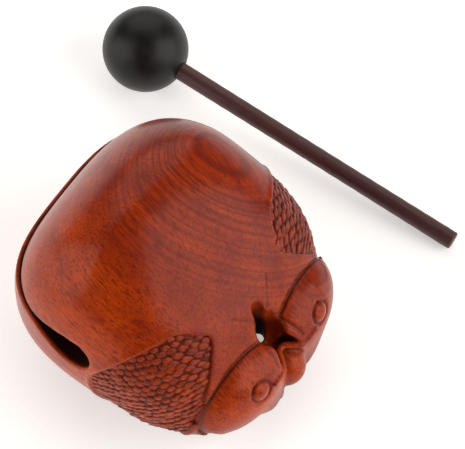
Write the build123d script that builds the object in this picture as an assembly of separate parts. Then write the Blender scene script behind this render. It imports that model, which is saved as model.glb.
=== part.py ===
"""Mokugyo: a hollow carved wooden fish drum with its mallet lying beside it.

The drum is one carved block. Its outside is drawn like a boat's lines plan: a plan outline at the belt, a top
line and a bottom line along the middle, and a superellipse section at every station between them. A smaller
set of the same lines is hollowed out as the sound chamber. A slit runs round the front from one side hole to
the other. Two fish with scaled flanks curl along the sides, and their heads meet on a pearl behind, round the
finger hole.

Frame: +Z up, origin on the surface the drum stands on, under the middle of the drum, slit towards -Y,
finger hole towards +Y. Millimetres.
"""

from build123d import *
from math import asin, cos, degrees, hypot, pi, radians, sin
import os

# Drum, outside
DRUM_WIDTH = 100.0
FRONT_REACH = 54.0
REAR_REACH = 42.0
CROWN_HEIGHT = 88.0
BELT_HEIGHT = 33.0
WIDEST_Y = 0.0
CROWN_Y = -13.0
KEEL_Y = 0.0
PLAN_FULLNESS = 2.9
BROW_FULLNESS = 1.75
REAR_SLOPE_FULLNESS = 1.45
FRONT_KEEL_FULLNESS = 2.1
REAR_KEEL_FULLNESS = 1.7
FRONT_SECTION_FULLNESS = 2.8
REAR_SECTION_FULLNESS = 2.2
LOWER_SECTION_FULLNESS = 2.2
FOOT_TRIM = 2.5

# Drum, sound chamber, slit and side holes
WALL = 11.0
REAR_WALL = 17.0
SLIT_GAP = 3.0
SLIT_RISE = 15.0
SIDE_HOLE_DIAMETER = 14.0
SIDE_HOLE_Y = -10.0
SIDE_HOLE_TAPER = 18.0

# Fish necks and heads, and the pearl between the mouths
NECK_LENGTH = 49.4
NECK_DEPTH = 26.4
NECK_SPACING = 57.4
NECK_INSET = 13.4
NECK_HEIGHT = 21.6
NECK_TURN = 57.0
HEAD_LENGTH = 45.0
HEAD_DEPTH = 29.0
HEAD_TALLNESS = 37.6
HEAD_SPACING = 34.0
HEAD_INSET = 5.0
HEAD_HEIGHT = 25.0
HEAD_TURN = 9.0
MOUTH_GAP = 11.2
PEARL_DIAMETER = 14.4
PEARL_TALLNESS = 20.0
PEARL_BEHIND = 10.3
PEARL_DROP = 3.5
EYE_DIAMETER = 6.4
EYE_SPACING = 36.4
EYE_BEHIND = 11.4
EYE_RISE = 8.6

# Scaled flanks: depth, scales, the share of a section that their rows climb, and the outline in the side
# view as shares of REAR_REACH and CROWN_HEIGHT
FLANK_SINK = 0.9
SCALE_PITCH = 4.6
SCALE_ROW = 3.7
SCALE_DIAMETER = 5.0
SCALE_RISE = 1.05
SCALE_CLIMB = 0.9
FLANK_SHARES = [(-0.06, 0.49), (0.04, 0.60), (0.26, 0.705), (0.40, 0.73), (0.55, 0.70), (0.71, 0.625),
                (0.82, 0.53), (0.80, 0.44), (0.74, 0.37), (0.50, 0.32), (0.30, 0.29), (0.08, 0.28)]

# Finger hole
FINGER_HOLE_DIAMETER = 9.0
FINGER_HOLE_INSET = 7.0
FINGER_HOLE_FLARE = 29.0
FINGER_HOLE_FLARE_HEIGHT = 25.0
FINGER_HOLLOW_DIAMETER = 19.0
FINGER_HOLLOW_TALLNESS = 26.0
FINGER_HOLLOW_HEIGHT = 40.0

# Mallet
BALL_DIAMETER = 33.0
STICK_DIAMETER = 7.0
STICK_REACH = 139.0
SOCKET_DEPTH = 22.0
STICK_CHAMFER = 0.6
MALLET_GAP = 14.5
MALLET_YAW = 1.5
BALL_Y = -71.0

# Lines plan: counts, and the turn of the end stations when the stations are set out round a half circle
STATIONS = 15
END_TURN = 86.0
SECTION_POINTS = 24


def bulge(share, fullness):
    """Height of a unit superellipse at a share of its half-length."""
    return max(0.0, 1.0 - min(1.0, abs(share)) ** fullness) ** (1.0 / fullness)


def station(y, front, rear, inset):
    """Half-width, rise above the belt, fall below it and upper fullness of the drum at station y."""

    def swell(middle, front_fullness, rear_fullness):
        if y > middle:
            return bulge((y - middle) / (rear - middle), rear_fullness)
        return bulge((y - middle) / (middle - front), front_fullness)

    half_width = (DRUM_WIDTH / 2 - inset) * swell(WIDEST_Y, PLAN_FULLNESS, PLAN_FULLNESS)
    rise = (CROWN_HEIGHT - inset - BELT_HEIGHT) * swell(CROWN_Y, BROW_FULLNESS, REAR_SLOPE_FULLNESS)
    fall = (BELT_HEIGHT + FOOT_TRIM - inset) * swell(KEEL_Y, FRONT_KEEL_FULLNESS, REAR_KEEL_FULLNESS)
    aft = (y + FRONT_REACH) / (FRONT_REACH + REAR_REACH)
    upper = FRONT_SECTION_FULLNESS + (REAR_SECTION_FULLNESS - FRONT_SECTION_FULLNESS) * aft
    return half_width, rise, fall, upper


def section(y, front, rear, inset):
    """The closed outline of the drum at station y: a superellipse above the belt and another below it."""
    half_width, rise, fall, upper = station(y, front, rear, inset)
    points = []
    for i in range(SECTION_POINTS):
        turn = 2 * pi * i / SECTION_POINTS - pi / 2
        c, s = cos(turn), sin(turn)
        power = 2 / (upper if s > 0 else LOWER_SECTION_FULLNESS)
        x = half_width * abs(c) ** power * (1 if c > 0 else -1)
        z = BELT_HEIGHT + (rise if s > 0 else -fall) * abs(s) ** power
        points.append((x, y, z))
    return Face(Wire(Spline(points, periodic=True)))


def lines_plan(inset, rear_inset):
    """The solid through all stations, closer together towards the two ends."""
    front, rear = -FRONT_REACH + inset, REAR_REACH - rear_inset
    middle, half = (front + rear) / 2, (rear - front) / 2
    turns = [radians(END_TURN) * (2 * i / (STATIONS - 1) - 1) for i in range(STATIONS)]
    return loft([section(middle + half * sin(turn), front, rear, inset) for turn in turns])


def egg(length, depth, tallness):
    """A ball stretched along X, Y and Z, with its poles on X."""
    return scale(Rot(0, 90, 0) * Sphere(1), by=(length / 2, depth / 2, tallness / 2))


def mouth():
    """The sound slit seen from the side: a narrow gap that swells by tangents into a round hole behind."""
    height = BELT_HEIGHT + SLIT_RISE
    length = SIDE_HOLE_Y + FRONT_REACH + WALL
    wide, narrow = SIDE_HOLE_DIAMETER / 2, SLIT_GAP / 2
    lean = asin((wide - narrow) / SIDE_HOLE_TAPER)
    wide_y, narrow_y = SIDE_HOLE_Y + wide * sin(lean), SIDE_HOLE_Y - SIDE_HOLE_TAPER + narrow * sin(lean)
    rise = [(wide_y, wide * cos(lean)), (narrow_y, narrow * cos(lean))]
    outline = rise + [(y, -z) for y, z in reversed(rise)]
    taper = make_face(Polyline([(y, height + z) for y, z in outline], close=True))
    gap = Pos(SIDE_HOLE_Y - length / 2, height) * Rectangle(length, SLIT_GAP)
    return Pos(SIDE_HOLE_Y, height) * Circle(wide) + taper + gap


def flank_outline():
    """The outline of a scaled flank in the side view."""
    points = [(y * REAR_REACH, z * CROWN_HEIGHT) for y, z in FLANK_SHARES]
    return make_face(Spline(points, periodic=True))


def scale_row(y, start, way):
    """Middles (x, z) of a row's balls: up or down the sunk skin from the belt, a pitch apart on the slope."""
    front, rear = FLANK_SINK - FRONT_REACH, REAR_REACH - FLANK_SINK
    half_width, rise, fall, upper = station(y, front, rear, FLANK_SINK)
    reach, full = (rise, upper) if way > 0 else (fall, LOWER_SECTION_FULLNESS)
    height, middles = start, []
    while height < SCALE_CLIMB * reach:
        x = half_width * bulge(height / reach, full)
        out = (x / half_width) ** (full - 1) / half_width
        up = (height / reach) ** (full - 1) / reach
        sunk = (SCALE_DIAMETER / 2 - SCALE_RISE) / hypot(out, up)
        middles.append((x - sunk * out, BELT_HEIGHT + way * (height - sunk * up)))
        height += SCALE_PITCH * out / hypot(out, up)
    return middles


def scales():
    """Balls let into both flanks in staggered rows, where there is room for them within the outline."""
    room = offset(flank_outline(), -SCALE_DIAMETER / 2).face()
    ball = Rot(0, 90, 0) * Sphere(SCALE_DIAMETER / 2)
    half_pitch = SCALE_PITCH / 2
    balls = []
    for row in range(int(REAR_REACH / SCALE_ROW)):
        y, odd = row * SCALE_ROW, row % 2
        for x, z in scale_row(y, half_pitch * odd, 1) + scale_row(y, half_pitch * (2 - odd), -1):
            if room.is_inside((y, z, 0)):
                balls += [Pos(side * x, y, z) * ball for side in (-1, 1)]
    return balls


def drum():
    """The carved block: outside, necks and heads, then the hollows, the scales, the pearl and the eyes."""
    block = lines_plan(0, 0)
    head_y = REAR_REACH - HEAD_INSET
    for side in (-1, 1):
        neck = Rot(0, 0, -side * NECK_TURN) * egg(NECK_LENGTH, NECK_DEPTH, NECK_DEPTH)
        block += Pos(side * NECK_SPACING / 2, REAR_REACH - NECK_INSET, NECK_HEIGHT) * neck
        head = Rot(0, 0, -side * HEAD_TURN) * egg(HEAD_LENGTH, HEAD_DEPTH, HEAD_TALLNESS)
        block += Pos(side * HEAD_SPACING / 2, head_y, HEAD_HEIGHT) * head

    block -= Pos(0, 0, -CROWN_HEIGHT / 2) * Box(3 * DRUM_WIDTH, 3 * DRUM_WIDTH, CROWN_HEIGHT)
    block -= lines_plan(WALL, REAR_WALL)
    block -= extrude(Plane.YZ * mouth(), DRUM_WIDTH, both=True)

    hollow = egg(FINGER_HOLLOW_DIAMETER, FINGER_HOLLOW_DIAMETER, FINGER_HOLLOW_TALLNESS)
    block -= Pos(0, REAR_REACH, FINGER_HOLLOW_HEIGHT) * hollow
    behind = (Align.CENTER, Align.MIN, Align.CENTER)
    block -= Pos(0, REAR_REACH) * Box(MOUTH_GAP, REAR_REACH, 3 * CROWN_HEIGHT, align=behind)
    hole = Cylinder(FINGER_HOLE_DIAMETER / 2, 3 * CROWN_HEIGHT)
    flare = Cone(FINGER_HOLE_FLARE / 2, FINGER_HOLE_DIAMETER / 2, FINGER_HOLE_FLARE_HEIGHT)
    block -= Pos(0, REAR_REACH - FINGER_HOLE_INSET) * hole
    block -= Pos(0, REAR_REACH - FINGER_HOLE_INSET, FINGER_HOLE_FLARE_HEIGHT / 2) * flare

    flanks = extrude(Plane.YZ * flank_outline(), DRUM_WIDTH, both=True)
    block -= flanks - lines_plan(FLANK_SINK, FLANK_SINK)
    block += scales()

    pearl = egg(PEARL_DIAMETER, PEARL_DIAMETER, PEARL_TALLNESS)
    block += Pos(0, head_y + PEARL_BEHIND, HEAD_HEIGHT - PEARL_DROP) * pearl
    for side in (-1, 1):
        eye = (side * EYE_SPACING / 2, head_y + EYE_BEHIND, HEAD_HEIGHT + EYE_RISE)
        block += Pos(*eye) * Sphere(EYE_DIAMETER / 2)
    return block


def mallet():
    """The stick and the ball, lying beside the drum on the same surface."""
    ball_radius, stick_radius = BALL_DIAMETER / 2, STICK_DIAMETER / 2
    dip = degrees(asin((ball_radius - stick_radius) / STICK_REACH))
    ball_x = -DRUM_WIDTH / 2 - MALLET_GAP - ball_radius
    place = Pos(ball_x, BALL_Y, ball_radius) * Rot(0, 0, MALLET_YAW) * Rot(-90 - dip)
    inner_end = ball_radius - SOCKET_DEPTH
    from_end = (Align.CENTER, Align.CENTER, Align.MIN)
    stick = Pos(0, 0, inner_end) * Cylinder(stick_radius, STICK_REACH - inner_end, align=from_end)
    stick = chamfer(stick.edges().group_by(Axis.Z)[-1], STICK_CHAMFER)
    socket = Pos(0, 0, inner_end) * Cylinder(stick_radius, BALL_DIAMETER, align=from_end)
    return place * stick, place * (Sphere(ball_radius) - socket)


os.makedirs("parts", exist_ok=True)
export_step(drum(), "parts/resonator_body.step")
stick, ball = mallet()
export_step(stick, "parts/mallet_stick.step")
export_step(ball, "parts/mallet_head.step")
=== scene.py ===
"""Mokugyo: a carved and hollowed wooden fish drum, with its mallet lying beside it.

The drum is one block of wood, so its look is one carved surface. It is worked out as a distance
in millimetres, in the carver's own order: the bell from its lines plan, the necks joined on and
the flanks sunk, then heads, web, pearl and lips joined on, eyes, mouths and cheeks scored, and
last the finger hole, the chamber and the slit cut away. Lengths are millimetres until a mesh is
made, and the mesh is in metres.
"""

import bpy
import numpy as np
from mathutils import Matrix


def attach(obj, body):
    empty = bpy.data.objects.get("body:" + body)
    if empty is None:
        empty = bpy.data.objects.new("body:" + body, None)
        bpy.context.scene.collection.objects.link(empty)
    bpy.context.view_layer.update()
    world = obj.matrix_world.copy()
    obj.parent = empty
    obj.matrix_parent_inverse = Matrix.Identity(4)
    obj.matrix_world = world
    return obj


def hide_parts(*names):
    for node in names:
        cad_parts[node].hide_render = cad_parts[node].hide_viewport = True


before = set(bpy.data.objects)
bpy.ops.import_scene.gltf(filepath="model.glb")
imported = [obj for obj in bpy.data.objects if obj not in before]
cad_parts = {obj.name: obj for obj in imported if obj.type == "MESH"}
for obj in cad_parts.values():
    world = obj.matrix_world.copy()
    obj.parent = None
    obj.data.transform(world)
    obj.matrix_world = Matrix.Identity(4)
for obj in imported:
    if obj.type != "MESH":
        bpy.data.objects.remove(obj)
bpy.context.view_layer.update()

MM = 0.001

# Bell: half width, reach to the slit and to the heads, height, height of the belt, foot planed off
HALF_WIDTH, FRONT, REAR, CROWN, BELT, FOOT = 50.0, 54.0, 42.0, 88.0, 33.0, 2.5
CROWN_Y = -13.0
WALL, REAR_WALL = 11.0, 17.0

# Fullness of a section over the belt, at the slit and how much less at the heads, and under it
UPPER_FULL, UPPER_FULL_LOSS, LOWER_FULL = 2.8, 0.6, 2.2

# Slit, how far its lower lip stands back and its upper one more, and the round hole it ends in on
# each side. The runs along the drum are where it drops and widens into the hole
SLIT_Z, SLIT_HALF = 48.0, 1.2
LIP_BACK, UPPER_LIP_BACK = 0.6, 1.9
HOLE_Y, HOLE_RADIUS = -10.0, 7.0
SLIT_DROP, DROP_RUN, WIDEN_RUN = 1.5, (-28, -10), (-33, -11)

# Fish, the right one: the left one is its mirror image. An egg is its middle, half-axes and turn
# towards the slit
NECK, NECK_END = ((28.7, 28.6, 21.6), (24.7, 13.2, 13.2), 57.0), 10.0
HEAD = (17.0, 37.0, 25.0), (22.5, 14.5, 18.8), 9.0
PEARL = (0.0, 47.4, 20.5), (7.2, 7.2, 8.6), 0.0
CREASE = 0.4

# Snout: where along x the head turns into it, how much deeper and how much steeper it falls there
SNOUT_RUN, SNOUT_DEEPER, SNOUT_STEEPER = (21, 9), 6.0, 2.0

# Mouth: half the gap between the snouts, and how much it closes over a run of heights
MOUTH_HALF, MOUTH_CLOSES, CLOSING_RUN = 5.6, 3.0, (32, 40)
LIP_Z, LIP_FOOT, LIP_RADIUS, JAW_RADIUS, JAW_POINTS = 30.6, 5.0, 1.0, 0.8, 4
LIP = ((0, 44.0, 31.4), (1.8, 45.0, 31.4), (3.8, 47.4, 31.0), (6.0, 49.8, 30.4),
       (9.0, 50.6, 31.2), (12.8, 50.9, 32.2))
MOUTH_LINE = ((3.7, 38.0, 44.3), (5.6, 40.6, 40.9), (6.4, 43.7, 39.6), (6.9, 46.3, 37.8),
              (7.7, 48.7, 34.9))
CHEEK_LINE = ((10.7, 30.2, 56.4), (7.3, 32.9, 52.7), (3.6, 35.7, 48.6))
MOUTH_SCORE, CHEEK_SCORE = 0.7, 0.35

# Eye: a button that rises over a run of radii, in a ring scored round it
EYE, EYE_RADIUS, EYE_RING_WIDTH, EYE_RELIEF = (18.7, 49.4, 34.4), 4.4, 0.55, 1.1
EYE_RUN = (4.0, 0.8)

# Finger hole: a waist between a flare below and a hollow among the heads
WAIST_Y, WAIST_Z, WAIST_RADIUS, FLARE, WEB_Y = 34.5, 26.0, 2.6, 0.45, 38.5
HOLLOW = (0.0, 39.2, 42.0), (5.2, 4.8, 14.0), 0.0
WEB = (0.0, 42.0, 11.0), (9.0, 5.0, 17.0), 0.0

# Scaled flank: how far it is sunk, over which run from its edge and from the middle plane, the bead
# round it, and its outline in the side view, as (y, z)
SUNK, SUNK_RUN, FLANK_RUN = 0.9, (-0.2, -1.6), (5, 12)
BEAD_HEIGHT, BEAD_PLACE, BEAD_WIDTH = 0.45, 0.3, 0.9
FLANK = ((-2.3, 42), (4, 51.4), (9, 58), (12.9, 61.2), (16.5, 63.4), (19, 64.2), (22.3, 62.8),
         (24.9, 60.8), (27.6, 58.6), (29.4, 56.6), (31.8, 52.4), (33.9, 48), (35.6, 43),
         (36.4, 37), (36.2, 30), (35, 23), (32, 15.5), (26, 10), (17, 8.5), (8, 10.5),
         (1, 17.5), (-2, 27.5), (-3, 36))

# Scales: spacing along a row and from row to row, first and last row, how much the rows close up
# over a run, room to the outline, half length and half width, and heights on the sunk flank
SCALE_PITCH, SCALE_ROW, FIRST_ROW, LAST_ROW = 3.0, 2.35, -2.6, 36
ROWS_CLOSE, ROWS_CLOSE_RUN, SCALE_MARGIN = 0.35, (22, 36), 1.2
SCALE_HALF_LENGTH, SCALE_HALF_WIDTH = 1.85, 1.65
SCALE_BASE, SCALE_TILT, SCALE_DOME, SCALE_RIM = 0.18, 0.36, 0.36, 0.9

# Mallet, and the way its stick points: down from the ball's middle until its far end lies down
BALL, BALL_RADIUS, SOCKET_DEPTH = (-81.0, -71.0, 16.5), 16.5, 22.0
STICK_RADIUS, STICK_REACH = 3.5, 139.0
YAW, DIP = np.radians(1.5), np.arcsin((BALL_RADIUS - STICK_RADIUS) / STICK_REACH)
STICK_WAY = -np.sin(YAW) * np.cos(DIP), np.cos(YAW) * np.cos(DIP), -np.sin(DIP)


# Shaping tools

def step(low, high, value):
    """0 at low and 1 at high, with the cubic 3t2 - 2t3 between."""
    t = np.clip((value - low) / (high - low), 0, 1)
    return t * t * (3 - 2 * t)


def ridge(value, width):
    """A bell curve: e to the minus square of value over width."""
    return np.exp(-(value / width) ** 2)


def join(a, b, soft):
    """Union of two distances: the smaller one, lowered by a parabola where they differ by less
    than soft."""
    h = np.clip(0.5 + 0.5 * (b - a) / soft, 0, 1)
    return b + (a - b) * h - soft * h * (1 - h)


def cut(a, b, soft):
    """Distance a with b taken away: the union turned inside out."""
    return -join(-a, b, soft)


def ball(x, y, z, centre, radius):
    """Distance to a ball: length from its centre less its radius."""
    return np.sqrt((x - centre[0]) ** 2 + (y - centre[1]) ** 2 + (z - centre[2]) ** 2) - radius


def egg(x, y, z, middle, half, turn):
    """Distance to an ellipsoid turned about Z: its gauge times the gauge less one, over the
    gauge's slope."""
    c, s = np.cos(np.radians(turn)), np.sin(np.radians(turn))
    x, y, z = x - middle[0], y - middle[1], z - middle[2]
    p = [(c * x - s * y) / half[0], (s * x + c * y) / half[1], z / half[2]]
    gauge = np.sqrt(p[0] ** 2 + p[1] ** 2 + p[2] ** 2)
    slope = np.sqrt((p[0] / half[0]) ** 2 + (p[1] / half[1]) ** 2 + (p[2] / half[2]) ** 2)
    return gauge * (gauge - 1) / np.maximum(slope, 1e-6)


def line(x, y, z, points):
    """Distance to a run of straight pieces: the least over pieces of the length to the nearest
    point on each."""
    best = np.full(np.shape(x), 1e9)
    for a, b in zip(points, points[1:]):
        d = [q - p for p, q in zip(a, b)]
        t = (x - a[0]) * d[0] + (y - a[1]) * d[1] + (z - a[2]) * d[2]
        t = np.clip(t / sum(v * v for v in d), 0, 1)
        best = np.minimum(best, ball(x, y, z, [p + t * v for p, v in zip(a, d)], 0.0))
    return best


def near_skin(d):
    """1 within 2 mm of a surface, 0 from 4 mm on, so that shallow work marks the skin alone."""
    return step(4, 2, np.abs(d))


# Drum

def lines_plan(y, front, rear, inset):
    """Half-width, rise over the belt, fall under it and upper fullness of the section at station y.

    Each is a superellipse along the drum: one less the share of the way to the end, to the power
    of its fullness."""
    def swell(middle, fore, aft):
        behind = (y - middle) / (rear - middle)
        share = np.where(y > middle, behind, (middle - y) / (middle - front))
        full = np.where(y > middle, aft, fore)
        return np.maximum(1 - np.clip(share, 0, 1) ** full, 1e-9) ** (1 / full)
    width = (HALF_WIDTH - inset) * swell(0.0, fore=2.9, aft=2.9)
    rise = (CROWN - BELT - inset) * swell(CROWN_Y, fore=1.75, aft=1.45)
    fall = (BELT + FOOT - inset) * swell(0.0, fore=2.1, aft=1.7)
    return width, rise, fall, UPPER_FULL - UPPER_FULL_LOSS * (y + FRONT) / (FRONT + REAR)


def bell(x, y, z, inset=0.0, rear_inset=0.0, lip=0.0, e=0.02, tip=0.15):
    """Distance to the lines plan: the section's superellipse gauge less one, over the slope of the
    gauge, in which the part along the drum counts for three times the part across it at most. The
    last section is a tip's length from the end, and past it the distance is the length to it."""
    front, rear = -FRONT + inset + lip, REAR - rear_inset

    def gauge(x, y, z):
        width, rise, fall, full = lines_plan(y, front, rear, inset)
        power = np.where(z > BELT, full, LOWER_FULL)
        reach = np.where(z > BELT, rise, fall)
        across, over = (np.abs(x) / width) ** power, (np.abs(z - BELT) / reach) ** power
        return (across + over) ** (1 / power) - 1

    at = np.clip(y, front + tip, rear - tip)
    g = gauge(x, at, z)
    slope = np.hypot(gauge(x + e, at, z) - g, gauge(x, at, z + e) - g) / e
    slope = np.hypot(slope, np.minimum(np.abs(gauge(x, at + e, z) - g) / e, 3 * slope))
    d = g / np.maximum(slope, 1e-3)
    past = np.abs(y - at)
    ends = np.maximum(front + tip - y, y - rear + tip)
    return np.where(past > 0, np.hypot(np.maximum(d, 0), past), np.maximum(d, ends))


def rounded(outline, rounds=2):
    """A closed outline with its corners cut: each side gives the points a quarter and three
    quarters along it."""
    points = np.asarray(outline, float)
    for _ in range(rounds):
        after = np.roll(points, -1, 0)
        quarters = [0.75 * points + 0.25 * after, 0.25 * points + 0.75 * after]
        points = np.stack(quarters, 1).reshape(-1, 2)
    return points


def flank_edge(y, z):
    """Distance in the side view to the rounded outline of the scaled flank, below zero inside it.

    A point is inside where a line from it along y crosses the outline an odd number of times."""
    best = np.full(np.shape(y), 1e9)
    inside = np.zeros(np.shape(y), bool)
    outline = rounded(FLANK)
    for (ya, za), (yb, zb) in zip(outline, np.roll(outline, -1, 0)):
        dy, dz = yb - ya, zb - za
        t = np.clip(((y - ya) * dy + (z - za) * dz) / (dy ** 2 + dz ** 2), 0, 1)
        best = np.minimum(best, np.hypot(y - ya - t * dy, z - za - t * dz))
        if za != zb:
            inside ^= ((za > z) != (zb > z)) & (y < ya + (z - za) / dz * dy)
    return np.where(inside, -best, best)


def trunk(x, y, z):
    """Bell with its lips at the slit, and the neck, cut off inside the head, joined softly on."""
    upper = step(SLIT_Z - SLIT_HALF, SLIT_Z + SLIT_HALF, z)
    d = bell(x, y, z, lip=LIP_BACK + UPPER_LIP_BACK * upper)
    turn = np.radians(NECK[2])
    ahead = (NECK[0][0] - x) * np.cos(turn) + (y - NECK[0][1]) * np.sin(turn)
    return join(d, cut(egg(x, y, z, *NECK), NECK_END - ahead, soft=3.0), soft=6.0)


def outside(x, y, z):
    """The drum before it is hollowed: bell and neck with the sunk flank, head and its crease, web,
    pearl, lips and eyes, and the scored mouth and cheek.

    The head is an egg whose lower half falls deeper and steeper towards the snout, by a power of
    the share of the way down. The jaw is the front of the lip carried straight down."""
    d = trunk(x, y, z)
    edge = flank_edge(y, z)
    skin = near_skin(d) * step(*FLANK_RUN, x)
    bead = BEAD_HEIGHT * ridge(edge - BEAD_PLACE, BEAD_WIDTH)
    d = d + skin * (SUNK * step(*SUNK_RUN, edge) - bead)

    (_, _, head_z), (_, _, head_half), _ = HEAD
    snout = step(*SNOUT_RUN, x)
    low = np.maximum(head_z - z, 0) / (head_half + SNOUT_DEEPER * snout)
    fallen = head_z - head_half * low ** (1 + SNOUT_STEEPER * snout)
    head = egg(x, y, np.where(z < head_z, fallen, z), *HEAD)
    crease = np.hypot(d, head)
    gap = x - MOUTH_HALF + MOUTH_CLOSES * step(*CLOSING_RUN, z)
    d = join(d, cut(head, gap, soft=1.6), soft=2.0)
    d = cut(d, crease - CREASE, soft=0.8)
    d = join(d, egg(x, y, z, *WEB), soft=1.5)
    d = join(d, egg(x, y, z, *PEARL), soft=0.5)
    d = join(d, line(x, y, z, LIP) - LIP_RADIUS, soft=0.6)
    jaw = line(x, y, np.maximum(z, LIP_Z), LIP[:JAW_POINTS]) - JAW_RADIUS
    d = join(d, cut(jaw, z - LIP_FOOT, soft=3.0), soft=1.5)
    r = ball(x, y, z, EYE, 0.0)
    ring = EYE_RELIEF * ridge(r - EYE_RADIUS, EYE_RING_WIDTH)
    d = d + near_skin(d) * (ring - EYE_RELIEF * step(*EYE_RUN, r))
    d = cut(d, line(x, y, z, MOUTH_LINE) - MOUTH_SCORE, soft=0.6)
    return cut(d, line(x, y, z, CHEEK_LINE) - CHEEK_SCORE, soft=0.5)


def drum(x, y, z):
    """The whole drum: the outside less finger hole, chamber, slit and side holes, planed flat
    underneath."""
    x = np.abs(x)
    d = outside(x, y, z)
    d = cut(d, egg(x, y, z, *HOLLOW), soft=2.5)
    hole = np.hypot(x, y - WAIST_Y) - WAIST_RADIUS - FLARE * np.maximum(WAIST_Z - z, 0)
    d = cut(d, np.maximum(hole, y - WEB_Y), soft=1.0)
    d = cut(d, bell(x, y, z, WALL, REAR_WALL), soft=1.0)
    height = z - SLIT_Z + SLIT_DROP * step(*DROP_RUN, y)
    half = SLIT_HALF + (HOLE_RADIUS - SLIT_HALF) * step(*WIDEN_RUN, y)
    round_end = np.hypot(y - HOLE_Y, height) - HOLE_RADIUS
    d = cut(d, np.where(y < HOLE_Y, np.abs(height) - half, round_end), soft=0.9)
    return np.maximum(d, -z)


def slope_of(field, points, e=0.05):
    """Value and slope of a field at points, by differences of e."""
    x, y, z = points.T
    d = field(x, y, z)
    ahead = [field(x + e, y, z) - d, field(x, y + e, z) - d, field(x, y, z + e) - d]
    return d, np.stack(ahead, 1) / e


def normal_of(field, points):
    """Direction of a field's slope at points: the slope over its length."""
    slope = slope_of(field, points)[1]
    return slope / np.linalg.norm(slope, axis=1, keepdims=True)


def settle(field, points, rounds=4, stride=0.5):
    """Points moved onto the surface, each round by the field's value over its slope, along the
    slope, and by a stride at most."""
    for _ in range(rounds):
        d, slope = slope_of(field, points)
        move = slope * (d / np.maximum((slope ** 2).sum(1), 0.05))[:, None]
        points = points - np.clip(move, -stride, stride)
    return points


def graded(*stops):
    """Grid lines from stop to stop: place, spacing, place, spacing, ... place."""
    runs = [np.linspace(a, b, int(round((b - a) / s)), endpoint=False)
            for a, s, b in zip(stops[::2], stops[1::2], stops[2::2])]
    return np.concatenate(runs + [[stops[-1]]])


def moved(cells, shifts):
    """A copy of grid indices with a shift added to each column that is named."""
    cells = cells.copy()
    for column, shift in shifts.items():
        cells[:, column] += shift
    return cells


def skin_of(field, xs, ys, zs, slab=24):
    """Mesh of a mirrored field: a vertex in each grid cell that the surface passes, at the mean of
    its crossings with the cell's edges, and a quad round each grid edge that it crosses."""
    slabs = [np.meshgrid(xs[i:i + slab], ys, zs, indexing="ij") for i in range(0, len(xs), slab)]
    value = np.concatenate([field(*part) for part in slabs])
    value = np.concatenate([value[:0:-1], value])
    axes = (np.concatenate([-xs[:0:-1], xs]), ys, zs)
    inside = value < 0
    size = np.array(value.shape) - 1
    count = sum(inside[i:i + size[0], j:j + size[1], k:k + size[2]].astype(np.int8)
                for i in (0, 1) for j in (0, 1) for k in (0, 1))
    cells = np.argwhere((count > 0) & (count < 8))
    number = np.full(size, -1, np.int64)
    number[tuple(cells.T)] = np.arange(len(cells))
    total, hits = np.zeros((len(cells), 3)), np.zeros(len(cells))
    quads = []
    for axis in range(3):
        b, c = (axis + 1) % 3, (axis + 2) % 3
        for p, q in ((0, 0), (0, 1), (1, 0), (1, 1)):
            low = moved(cells, {b: p, c: q})
            high = moved(low, {axis: 1})
            va, vb = value[tuple(low.T)], value[tuple(high.T)]
            crossed = (va < 0) != (vb < 0)
            t = np.where(crossed, va / np.where(crossed, va - vb, 1), 0)
            for k in range(3):
                pa, pb = axes[k][low[:, k]], axes[k][high[:, k]]
                total[:, k] += np.where(crossed, pa + t * (pb - pa), 0)
            hits += crossed
        first = np.moveaxis(inside, axis, 0)
        at = np.argwhere(np.moveaxis(first[:-1] != first[1:], 0, axis))
        within = (at[:, b] > 0) & (at[:, c] > 0) & (at[:, b] < size[b]) & (at[:, c] < size[c])
        at = at[within]
        ring = [number[tuple(moved(at, {b: p, c: q}).T)]
                for p, q in ((-1, -1), (0, -1), (0, 0), (-1, 0))]
        quad = np.stack(ring, 1)
        inner = ~inside[tuple(at.T)]
        quad[inner] = quad[inner][:, ::-1]
        quads.append(quad)
    return total / hits[:, None], np.concatenate(quads)


def shelter(points, normals):
    """How deep in recesses each point lies, 0 to 1: the share of short ways out along the normal
    that wood closes. It darkens the drum as painted shade."""
    shade = np.zeros(len(points))
    for reach, weight in ((0.8, 0.25), (1.8, 0.3), (4.0, 0.4)):
        out = points + normals * reach
        shade += weight * np.clip(1 - drum(*out.T) / reach, 0, 1)
    return np.clip(shade, 0, 1)


def piece(name, points, quads, material, body, slot, nodes=(), **marks):
    """A smooth mesh object in metres from points in millimetres, riding on a body, with float
    marks on its points. A quad whose last two corners are one is a triangle."""
    mesh = bpy.data.meshes.new(name)
    used = np.unique(quads)
    renumber = np.zeros(len(points), np.int64)
    renumber[used] = np.arange(len(used))
    quads = renumber[quads]
    mesh.vertices.add(len(used))
    mesh.vertices.foreach_set("co", (points[used] * MM).ravel())
    kept = np.ones(quads.shape, bool)
    kept[:, 3] = quads[:, 2] != quads[:, 3]
    sizes, corners = kept.sum(1), quads[kept]
    mesh.loops.add(len(corners))
    mesh.loops.foreach_set("vertex_index", corners)
    mesh.polygons.add(len(quads))
    mesh.polygons.foreach_set("loop_start", np.concatenate([[0], np.cumsum(sizes)[:-1]]))
    mesh.polygons.foreach_set("loop_total", sizes)
    mesh.update(calc_edges=True)
    mesh.validate()
    mesh.polygons.foreach_set("use_smooth", np.ones(len(mesh.polygons), bool))
    for mark, values in marks.items():
        attribute = mesh.attributes.new(mark, "FLOAT", "POINT")
        attribute.data.foreach_set("value", values[used].astype(np.float32))
    mesh.materials.append(material)
    obj = bpy.data.objects.new(name, mesh)
    bpy.context.scene.collection.objects.link(obj)
    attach(obj, body)
    if nodes:
        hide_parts(*nodes)
    return obj


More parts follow.
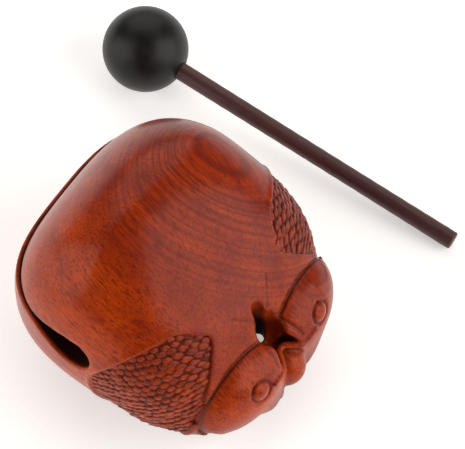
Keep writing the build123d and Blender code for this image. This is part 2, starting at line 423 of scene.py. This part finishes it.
def flank_side(y, turn, near=15.0, far=75.0, rounds=22):
    """The point of the sunk flank at station y and at a turn up from the belt, found by halving
    along a ray between near and far."""
    near, far = np.full(np.shape(y), near), np.full(np.shape(y), far)
    for _ in range(rounds):
        reach = (near + far) / 2
        within = trunk(reach * np.cos(turn), y, BELT + reach * np.sin(turn)) + SUNK < 0
        near, far = np.where(within, reach, near), np.where(within, far, reach)
    return np.stack([near * np.cos(turn), y, BELT + near * np.sin(turn)], -1)


def scale_places():
    """Station, turn, and turn per millimetre along its row, of each scale of the right flank, in
    staggered rows across the fish, each at even lengths along the row."""
    turns = np.radians(np.linspace(-50, 60, 320))
    rows = [FIRST_ROW]
    while rows[-1] < LAST_ROW:
        rows.append(rows[-1] + SCALE_ROW * (1 - ROWS_CLOSE * step(*ROWS_CLOSE_RUN, rows[-1])))
    rows = np.array(rows)
    sides = flank_side(rows[:, None] + 0 * turns, turns + 0 * rows[:, None])
    lengths = np.linalg.norm(np.diff(sides, axis=1), axis=2)
    places, heights = [], []
    for k, (y, side, length) in enumerate(zip(rows, sides, lengths)):
        run = np.concatenate([[0], np.cumsum(length)])
        want = np.arange(SCALE_PITCH * (0.25 + 0.5 * (k % 2)), run[-1], SCALE_PITCH)
        turn = np.interp(want, run, turns)
        rate = np.interp(want, run, np.gradient(turns, run))
        places.append(np.stack([y + 0 * turn, turn, rate], 1))
        heights.append(np.interp(want, run, side[:, 2]))
    places = np.concatenate(places)
    return places[flank_edge(places[:, 0], np.concatenate(heights)) < -SCALE_MARGIN]


def scales(spokes=10):
    """Carved scales of both flanks, free edges towards the slit.

    Each is a round button on the flank: rings of points by share and angle, laid on the sunk
    surface and raised along its normal by a tilt towards the free edge plus a dome of one less the
    share squared, its rim pressed into the wood. Size, height, place and darkness vary a little by
    sines of its number, as carving by hand does."""
    places = scale_places()
    n = np.arange(len(places))
    places[:, 0] += 0.3 * np.sin(7.3 * n)
    places[:, 1] += 0.35 * np.sin(4.1 * n + 1.3) * places[:, 2]

    shares = np.array([0.5, 0.8, 1.0, 1.06])
    angle = 2 * np.pi * np.arange(spokes) / spokes
    share = np.concatenate([[0], np.repeat(shares, spokes)])
    along = np.concatenate([[0], (shares[:, None] * np.cos(angle)).ravel()])
    across = np.concatenate([[0], (shares[:, None] * np.sin(angle)).ravel()])
    size = (1 + 0.13 * np.sin(5.7 * n + 0.4))[:, None]
    y = places[:, :1] - SCALE_HALF_LENGTH * size * along
    turn = places[:, 1:2] + places[:, 2:3] * SCALE_HALF_WIDTH * size * across
    points = flank_side(y.ravel(), turn.ravel())
    dome = SCALE_DOME * (1 - np.minimum(share, 1) ** 2)
    lift = SCALE_BASE + SCALE_TILT * along + dome - SCALE_RIM * step(0.93, 1.06, share)
    lift = lift * (1 + 0.25 * np.sin(3.9 * n + 2.2))[:, None]
    points = points + normal_of(trunk, points) * lift.reshape(-1, 1)

    j = np.arange(spokes)
    after = (j + 1) % spokes
    faces = [np.stack([0 * j, 1 + j, 1 + after, 1 + after], 1)]
    for r in range(len(shares) - 1):
        a, b = 1 + r * spokes, 1 + (r + 1) * spokes
        faces.append(np.stack([a + j, b + j, b + after, a + after], 1))
    quads = (np.concatenate(faces) + len(share) * n[:, None, None]).reshape(-1, 4)
    # Painted shade: each scale darkens towards its rim and on its root side, as if shaded where it
    # meets the ground; the darkness by its number below is the scale's own tone.
    depth = np.clip(step(0.55, 1.0, share) + 0.45 * step(0.1, -0.9, along), 0, 1)
    dark = 0.2 + 0.22 * np.sin(2.9 * n + 0.7) + 0.15 * np.sin(1.7 * n)
    depth = np.maximum(depth, dark[:, None]).ravel()
    mirrored = quads[:, [0, 3, 2, 1]] + len(points)
    fan = mirrored[:, 1] == mirrored[:, 2]
    mirrored[fan] = mirrored[fan][:, [0, 2, 3, 3]]
    both = np.concatenate([points, points * (-1, 1, 1)])
    return both, np.concatenate([quads, mirrored]), np.tile(depth, 2)


# Mallet

def turned(profile, spokes=72):
    """A turned piece: a profile of (length along the axis, radius) carried round the mallet's axis,
    closed to a point where the profile starts or ends at no radius."""
    axis = np.array(STICK_WAY)
    side = np.cross((0, 0, 1), axis)
    side /= np.linalg.norm(side)
    up = np.cross(axis, side)
    angle = 2 * np.pi * np.arange(spokes) / spokes
    spoke = np.cos(angle)[:, None] * side + np.sin(angle)[:, None] * up
    length, radius = np.asarray(profile, float).T
    points = np.asarray(BALL) + length[:, None, None] * axis + radius[:, None, None] * spoke
    i, j = np.meshgrid(np.arange(len(length) - 1), np.arange(spokes), indexing="ij")
    near, far, after = i * spokes, (i + 1) * spokes, (j + 1) % spokes
    quads = np.stack([near + j, near + after, far + after, far + j], -1).reshape(-1, 4)
    for end in (0, len(length) - 1):
        if radius[end] < 1e-6:
            first = end * spokes
            quads = np.where((quads >= first) & (quads < first + spokes), first, quads)
    pole = quads[:, 0] == quads[:, 1]
    quads[pole] = quads[pole][:, [0, 2, 3, 3]]
    return points.reshape(-1, 3), quads


def stick_profile(rounding=0.8, slack=0.08):
    """The rod: a flat inner end, a straight shank with a faint swell from turning, and a far end
    rounded by a quarter circle, its face domed a little."""
    inner, shoulder = BALL_RADIUS - SOCKET_DEPTH, STICK_REACH - 0.9
    shank = np.linspace(inner + 0.4, shoulder, 150)
    chatter = 0.03 * np.sin(shank * 0.9) * step(20, 40, shank)
    swell = chatter + 0.05 * np.sin(shank * 0.043 + 1)
    turn = np.radians(np.linspace(0, 80, 9))
    round_end = np.stack([shoulder + rounding * np.sin(turn),
                          STICK_RADIUS - rounding + rounding * np.cos(turn)], 1)
    face = np.array([(STICK_REACH - 0.04, 1.8), (STICK_REACH, 0.0)])
    return np.concatenate([[(inner, 0.0), (inner, STICK_RADIUS - 0.2)],
                           np.stack([shank, STICK_RADIUS - slack + swell], 1),
                           round_end[1:], face])


def ball_profile(lip=1.0, curl_depth=0.9, slack=0.05):
    """The ball: a great circle from the far pole to the socket, a rounded rim, and the socket's
    wall and floor."""
    rim = np.arcsin((STICK_RADIUS + lip) / BALL_RADIUS)
    turn = np.linspace(np.pi, rim, 90)
    shell = np.stack([BALL_RADIUS * np.cos(turn), BALL_RADIUS * np.sin(turn)], 1)
    shell[0, 1] = 0.0
    top = BALL_RADIUS * np.cos(rim)
    curl = np.linspace(0.2, 1, 7) * np.pi / 2
    edge = np.stack([top - curl_depth * (1 - np.cos(curl)),
                     STICK_RADIUS + lip - (lip - slack) * np.sin(curl)], 1)
    floor, bore = BALL_RADIUS - SOCKET_DEPTH - 0.1, STICK_RADIUS + slack
    wall = np.array([(top - 4.0, bore), (floor, bore), (floor, 0.0)])
    return np.concatenate([shell, edge, wall])


# Finishes

def fill(tree, node, values):
    """A node's inputs set to values, or linked where a value is another node's output."""
    for name, value in values.items():
        if isinstance(value, bpy.types.NodeSocket):
            tree.links.new(value, node.inputs[name])
        else:
            node.inputs[name].default_value = value
    return node


def put(tree, kind, values=None, **settings):
    """A node with its settings made and its inputs set or linked."""
    made = tree.nodes.new(kind)
    for name, value in settings.items():
        setattr(made, name, value)
    return fill(tree, made, values or {})


def fade(tree, value, low, high, top=1.0):
    """A value taken from low..high to 0..top, smoothly."""
    values = {"Value": value, "From Min": low, "From Max": high, "To Min": 0.0, "To Max": top}
    made = put(tree, "ShaderNodeMapRange", values, interpolation_type="SMOOTHSTEP")
    return made.outputs["Result"]


def blend(tree, share, a, b):
    """Colour a going over to b by a share."""
    return put(tree, "ShaderNodeMix", {0: share, 6: a, 7: b}, data_type="RGBA").outputs[2]


def reckon(tree, operation, a, b):
    """One sum on two values."""
    return put(tree, "ShaderNodeMath", {0: a, 1: b}, operation=operation).outputs[0]


def z_of(tree, vector):
    """The Z of a vector."""
    return put(tree, "ShaderNodeSeparateXYZ", {0: vector}).outputs["Z"]


def wood_figure():
    """Figure of a hardwood on a vector whose X runs across the fibre, Y along it and Z across the
    growth layers.

    Layers: noise along Z alone, bent by a broad noise. Fibre: noise drawn out along Y. Pores: finer
    noise drawn out along Y and kept above a threshold. Cloud: broad noise."""
    group = bpy.data.node_groups.new("wood_figure", "ShaderNodeTree")
    sockets = group.interface
    sockets.new_socket("Vector", in_out="INPUT", socket_type="NodeSocketVector")
    for name, value in (("Layer", 900.0), ("Bend", 0.0012), ("Pore", 1500.0)):
        made = sockets.new_socket(name, in_out="INPUT", socket_type="NodeSocketFloat")
        made.default_value = value
    for name in ("Layers", "Fibre", "Pores", "Cloud"):
        sockets.new_socket(name, in_out="OUTPUT", socket_type="NodeSocketFloat")
    given = put(group, "NodeGroupInput").outputs
    vector, pore = given["Vector"], given["Pore"]

    def noise(scale, detail, rough=0.5):
        stretched = put(group, "ShaderNodeVectorMath", {0: vector, 1: scale}, operation="MULTIPLY")
        values = {"Vector": stretched.outputs[0], "Scale": 1.0, "Detail": detail,
                  "Roughness": rough}
        return put(group, "ShaderNodeTexNoise", values).outputs["Fac"]

    bend = reckon(group, "MULTIPLY", noise((45, 22, 45), 2.0), given["Bend"])
    depth = reckon(group, "ADD", z_of(group, vector), bend)
    values = {"W": reckon(group, "MULTIPLY", depth, given["Layer"]), "Scale": 1.0, "Detail": 2.5,
              "Roughness": 0.6}
    layers = put(group, "ShaderNodeTexNoise", values, noise_dimensions="1D").outputs["Fac"]
    drawn_out = reckon(group, "MULTIPLY", pore, 0.13)
    pore_size = put(group, "ShaderNodeCombineXYZ", {"X": pore, "Y": drawn_out, "Z": pore})
    put(group, "NodeGroupOutput", {
        "Layers": fade(group, layers, 0.38, 0.66),
        "Fibre": noise((1500, 120, 1500), 4.0, 0.6),
        "Pores": fade(group, noise(pore_size.outputs[0], 1.5), 0.58, 0.70),
        "Cloud": fade(group, noise((70, 30, 70), 4.0, 0.6), 0.3, 0.7)})
    return group


def along(tree, place, x, y, z):
    """A place read along three directions of the wood."""
    parts = {name: put(tree, "ShaderNodeVectorMath", {0: place, 1: way}, operation="DOT_PRODUCT")
             for name, way in (("X", x), ("Y", y), ("Z", z))}
    parts = {name: part.outputs["Value"] for name, part in parts.items()}
    return put(tree, "ShaderNodeCombineXYZ", parts).outputs[0]


def finish(name):
    """A new material: its node tree, its shader, and its Object coordinates."""
    material = bpy.data.materials.new(name)
    material.use_nodes = True
    tree = material.node_tree
    tree.nodes.clear()
    shader = put(tree, "ShaderNodeBsdfPrincipled")
    put(tree, "ShaderNodeOutputMaterial", {"Surface": shader.outputs[0]})
    return material, tree, shader, put(tree, "ShaderNodeTexCoord").outputs["Object"]


def figure_on(tree, wood, **sizes):
    """The figure's outputs on a vector of the wood, with its own sizes."""
    group = bpy.data.node_groups["wood_figure"]
    figure = put(tree, "ShaderNodeGroup", sizes, node_tree=group)
    tree.links.new(wood, figure.inputs["Vector"])
    return figure.outputs


def grain(tree, figure, fibre, strength, distance=0.00008):
    """Relief of the wood's skin: fibre by its share less pores."""
    height = reckon(tree, "MULTIPLY", figure["Fibre"], fibre)
    height = reckon(tree, "SUBTRACT", height, figure["Pores"])
    values = {"Height": height, "Strength": strength, "Distance": distance}
    return put(tree, "ShaderNodeBump", values).outputs[0]


def mark_on(tree, name):
    """A float mark on the piece's points."""
    return put(tree, "ShaderNodeAttribute", attribute_name=name).outputs["Fac"]


def drum_wood():
    """Lacquered red-brown hardwood: orange to red by depth and cloud, growth rings near the top of
    the layers, short dark pores, painted shade low down, in recesses, on the ground between scales
    and at the scales' rims, each scale's own darkness, and near black inside the slit, the finger
    hole and the chamber. The lacquer is thinner low down, and there is none in the hollows."""
    material, tree, shader, place = finish("drum_wood")
    across, fibre, layer = (0.8276, 0.0003, 0.5614), (0.185, 0.944, -0.273), (-0.53, 0.33, 0.78)
    orange, red, streak = (0.59, 0.066, 0.0005, 1), (0.22, 0.012, 0.002, 1), (0.15, 0.009, 0.001, 1)
    # low is painted shade: the colour the wood darkens towards in its lowest 30 mm, where the
    # drum's underside lies in shade.
    ring, pore, low = (0.10, 0.006, 0.002, 1), (0.045, 0.003, 0.001, 1), (0.09, 0.006, 0.002, 1)
    # Painted shade: the first colour here is what recesses, the ground between scales and the
    # scales' rims darken towards, and each scale's own darkness goes towards it too. in_hollow is
    # the near black deep inside the slit, finger hole and chamber.
    in_recess, in_hollow = (0.05, 0.005, 0.002, 1), (0.006, 0.002, 0.0015, 1)

    wood = along(tree, place, across, fibre, layer)
    figure = figure_on(tree, wood, Pore=2500.0)
    depth, height = z_of(tree, wood), z_of(tree, place)
    recess, hollow = mark_on(tree, "recess"), mark_on(tree, "hollow")

    tone = reckon(tree, "ADD", reckon(tree, "MULTIPLY", fade(tree, depth, 0.005, 0.07), 0.45),
                  reckon(tree, "MULTIPLY", figure["Cloud"], 0.55))
    rings = reckon(tree, "ADD", fade(tree, depth, 0.045, 0.068, 0.48), 0.13)
    colour = blend(tree, tone, orange, red)
    for share, shade in (
            (fade(tree, figure["Fibre"], 0.42, 0.70, 0.75), streak),
            (reckon(tree, "MULTIPLY", figure["Layers"], rings), ring),
            (reckon(tree, "MULTIPLY", figure["Pores"], 0.6), pore),
            (fade(tree, height, 0.03, 0.004, 0.85), low),
            (reckon(tree, "MULTIPLY", recess, 0.8), in_recess),
            (reckon(tree, "MULTIPLY", hollow, 0.96), in_hollow)):
        colour = blend(tree, share, colour, shade)

    dull = reckon(tree, "MULTIPLY", reckon(tree, "MAXIMUM", recess, hollow), 0.3)
    rough = reckon(tree, "ADD", reckon(tree, "MULTIPLY", figure["Fibre"], 0.16),
                   reckon(tree, "ADD", dull, 0.36))
    lacquer = reckon(tree, "ADD", fade(tree, height, 0.004, 0.038, 0.5), 0.25)
    lacquer = reckon(tree, "MULTIPLY", reckon(tree, "SUBTRACT", 1.0, hollow), lacquer)
    fill(tree, shader, {
        "Base Color": colour, "Roughness": rough, "Normal": grain(tree, figure, 0.4, 0.25),
        "Coat Weight": lacquer, "Coat Roughness": 0.22, "Coat IOR": 1.26,
        "Specular IOR Level": 0.06})
    return material


def stick_wood():
    """Dark red-brown rod: fibre along the stick, fine dark pores, a thin satin oil."""
    material, tree, shader, place = finish("stick_wood")
    light, red, streak = (0.085, 0.022, 0.02, 1), (0.06, 0.014, 0.013, 1), (0.035, 0.01, 0.01, 1)
    ring, pore = (0.03, 0.008, 0.008, 1), (0.012, 0.004, 0.004, 1)

    wood = along(tree, place, (0.9, 0.02, 0.43), STICK_WAY, (-0.43, 0.09, 0.9))
    figure = figure_on(tree, wood, Layer=1500.0, Pore=2400.0)
    colour = blend(tree, figure["Cloud"], light, red)
    for share, shade in ((fade(tree, figure["Fibre"], 0.45, 0.75, 0.6), streak),
                         (reckon(tree, "MULTIPLY", figure["Layers"], 0.4), ring),
                         (reckon(tree, "MULTIPLY", figure["Pores"], 0.6), pore)):
        colour = blend(tree, share, colour, shade)
    rough = reckon(tree, "ADD", reckon(tree, "MULTIPLY", figure["Fibre"], 0.2), 0.35)
    fill(tree, shader, {"Base Color": colour, "Roughness": rough,
                        "Normal": grain(tree, figure, 0.5, 0.3)})
    return material


def head_rubber():
    """Black rubber: a satin skin with faint clouds of bloom and a fine pebble."""
    material, tree, shader, place = finish("head_rubber")
    black, bloom = (0.004, 0.004, 0.0045, 1), (0.008, 0.008, 0.009, 1)
    values = {"Vector": place, "Scale": 160.0, "Detail": 4.0}
    cloud = put(tree, "ShaderNodeTexNoise", values).outputs["Fac"]
    values = {"Vector": place, "Scale": 2600.0, "Detail": 2.0}
    pebble = put(tree, "ShaderNodeTexNoise", values).outputs["Fac"]
    values = {"Height": pebble, "Strength": 0.12, "Distance": 0.00005}
    relief = put(tree, "ShaderNodeBump", values).outputs[0]
    rough = reckon(tree, "ADD", reckon(tree, "MULTIPLY", cloud, 0.2), 0.3)
    fill(tree, shader, {
        "Base Color": blend(tree, fade(tree, cloud, 0.4, 0.7), black, bloom),
        "Roughness": rough, "Specular IOR Level": 0.27, "Normal": relief})
    return material


# The pieces

wood_figure()
WOOD, ROD, RUBBER = drum_wood(), stick_wood(), head_rubber()

# Grid of the drum in millimetres, finest at the heads
coarse = 1.0
across = graded(0, 0.74 * coarse, 54)
lengthwise = graded(-57, 0.95 * coarse, -20, 0.85 * coarse, 10, 0.72 * coarse, 26,
                    0.62 * coarse, 57)
upwards = graded(-1.4, 0.74 * coarse, 52, 0.85 * coarse, 90)
points, quads = skin_of(drum, across, lengthwise, upwards)
points = settle(drum, points)

# Marks: a mark of painted shade, deeper where wood closes round a point in recesses and full on
# the ground between scales. Hollow is how far under the outside a point lies, full soon behind the
# slit and later in the finger hole
GROUND_SLACK, GROUND_RUN = 0.5, (-1.0, -2.2)
FINGER_HOLE_FROM, SLIT_DEPTHS, FINGER_HOLE_DEPTHS = 20, (0.3, 1.6), (2.0, 7.5)
CHAMBER_SLACK = 1.0
right = np.abs(points[:, 0]), points[:, 1], points[:, 2]
ground = np.abs(trunk(*right) + SUNK) < GROUND_SLACK
ground = ground * step(*GROUND_RUN, flank_edge(points[:, 1], points[:, 2]))
recess = np.maximum(shelter(points, normal_of(drum, points)), ground)
below = -outside(*right)
hollow = np.where(points[:, 1] < FINGER_HOLE_FROM, step(*SLIT_DEPTHS, below),
                  step(*FINGER_HOLE_DEPTHS, below))
chamber = bell(*points.T, WALL - CHAMBER_SLACK, REAR_WALL - CHAMBER_SLACK)
inner = chamber[quads].max(1) < 0.0
marks = {"recess": recess, "hollow": hollow}
piece("carved_drum", points, quads[~inner], WOOD, "drum", "drum_wood", ("resonator_body",), **marks)
piece("chamber_wall", points, quads[inner], WOOD, "drum", "drum_wood", **marks)

# The scales' mark is painted shade at their rims and roots, with each scale's own darkness.
points, quads, recess = scales()
piece("carved_scales", points, quads, WOOD, "drum", "drum_wood", recess=recess)

piece("mallet_rod", *turned(stick_profile()), ROD, "mallet", "stick_wood", ("mallet_stick",))
piece("mallet_ball", *turned(ball_profile(), 96), RUBBER, "mallet", "head_rubber", ("mallet_head",))

# Floor, light and camera

floor = bpy.data.objects.new("floor", bpy.data.meshes.new("floor"))
floor.data.from_pydata([(-4, -4, 0), (4, -4, 0), (4, 4, 0), (-4, 4, 0)], [], [(0, 1, 2, 3)])
bpy.context.scene.collection.objects.link(floor)
material, tree, shader, place = finish("pale_floor")
mottle = put(tree, "ShaderNodeTexNoise", {"Vector": place, "Scale": 3.0}).outputs["Fac"]
fill(tree, shader, {
    "Base Color": blend(tree, mottle, (0.86, 0.86, 0.86, 1), (0.9, 0.9, 0.9, 1)),
    "Roughness": 0.9, "Emission Color": (1, 1, 1, 1), "Emission Strength": 0.42})
floor.data.materials.append(material)

world = bpy.data.worlds.new("studio")
world.use_nodes = True
sky = world.node_tree
sky.nodes.clear()
seen = put(sky, "ShaderNodeLightPath").outputs["Is Camera Ray"]
light = reckon(sky, "ADD", reckon(sky, "MULTIPLY", seen, 0.92), 0.08)
white = put(sky, "ShaderNodeBackground", {"Color": (1, 1, 1, 1), "Strength": light})
put(sky, "ShaderNodeOutputWorld", {"Surface": white.outputs[0]})
bpy.context.scene.world = world
bpy.context.scene.view_settings.view_transform = "Standard"

# Camera's place round the drum, in metres, and how far its aim lies beside and over the target
TARGET = np.array([0.0, 0.0, 0.035])
AZIMUTH, ELEVATION = np.radians(124.8), np.radians(64.0)
DISTANCE, AIM_RIGHT, AIM_UP = 0.9, 0.0198, 0.01953
BACK = np.array([np.sin(AZIMUTH) * np.cos(ELEVATION), -np.cos(AZIMUTH) * np.cos(ELEVATION),
                 np.sin(ELEVATION)])
RIGHT = np.array([np.cos(AZIMUTH), np.sin(AZIMUTH), 0.0])
UP = np.cross(BACK, RIGHT)
LAMP_COLOUR = (1.0, 0.96, 0.9)


def aimed(obj, place, target, right):
    """Puts a lamp or camera at a place, looking at a target, with its X kept as near as it goes to
    right."""
    back = (place - target) / np.linalg.norm(place - target)
    across = right - back * (right @ back)
    across /= np.linalg.norm(across)
    turn = np.stack([across, np.cross(back, across), back], 1)
    obj.matrix_world = Matrix.Translation(place) @ Matrix(turn.tolist()).to_4x4()
    bpy.context.scene.collection.objects.link(obj)
    return obj


def softbox(name, place, width, height, power):
    """A soft rectangular lamp aimed at the drum."""
    lamp = bpy.data.lights.new(name, "AREA")
    lamp.shape, lamp.size, lamp.size_y, lamp.energy = "RECTANGLE", width, height, power
    lamp.color = LAMP_COLOUR
    return aimed(bpy.data.objects.new(name, lamp), place, TARGET, RIGHT)


softbox("right_side", TARGET + np.array([-0.28, 0.85, 0.45]), 1.2, 1.1, 11.0)
softbox("left_side", TARGET + np.array([0.70, -0.62, 0.35]), 1.2, 1.0, 8.0)
softbox("over_behind", TARGET + 1.2 * np.array([-0.62, -0.45, 0.64]), 1.5, 1.2, 8.3)

camera = bpy.data.cameras.new("camera")
camera.sensor_fit, camera.sensor_width, camera.lens = "HORIZONTAL", 36.0, 195.1
camera.clip_start = 0.01
bpy.context.scene.camera = aimed(bpy.data.objects.new("camera", camera), TARGET + DISTANCE * BACK,
                                 TARGET + AIM_RIGHT * RIGHT + AIM_UP * UP, RIGHT)
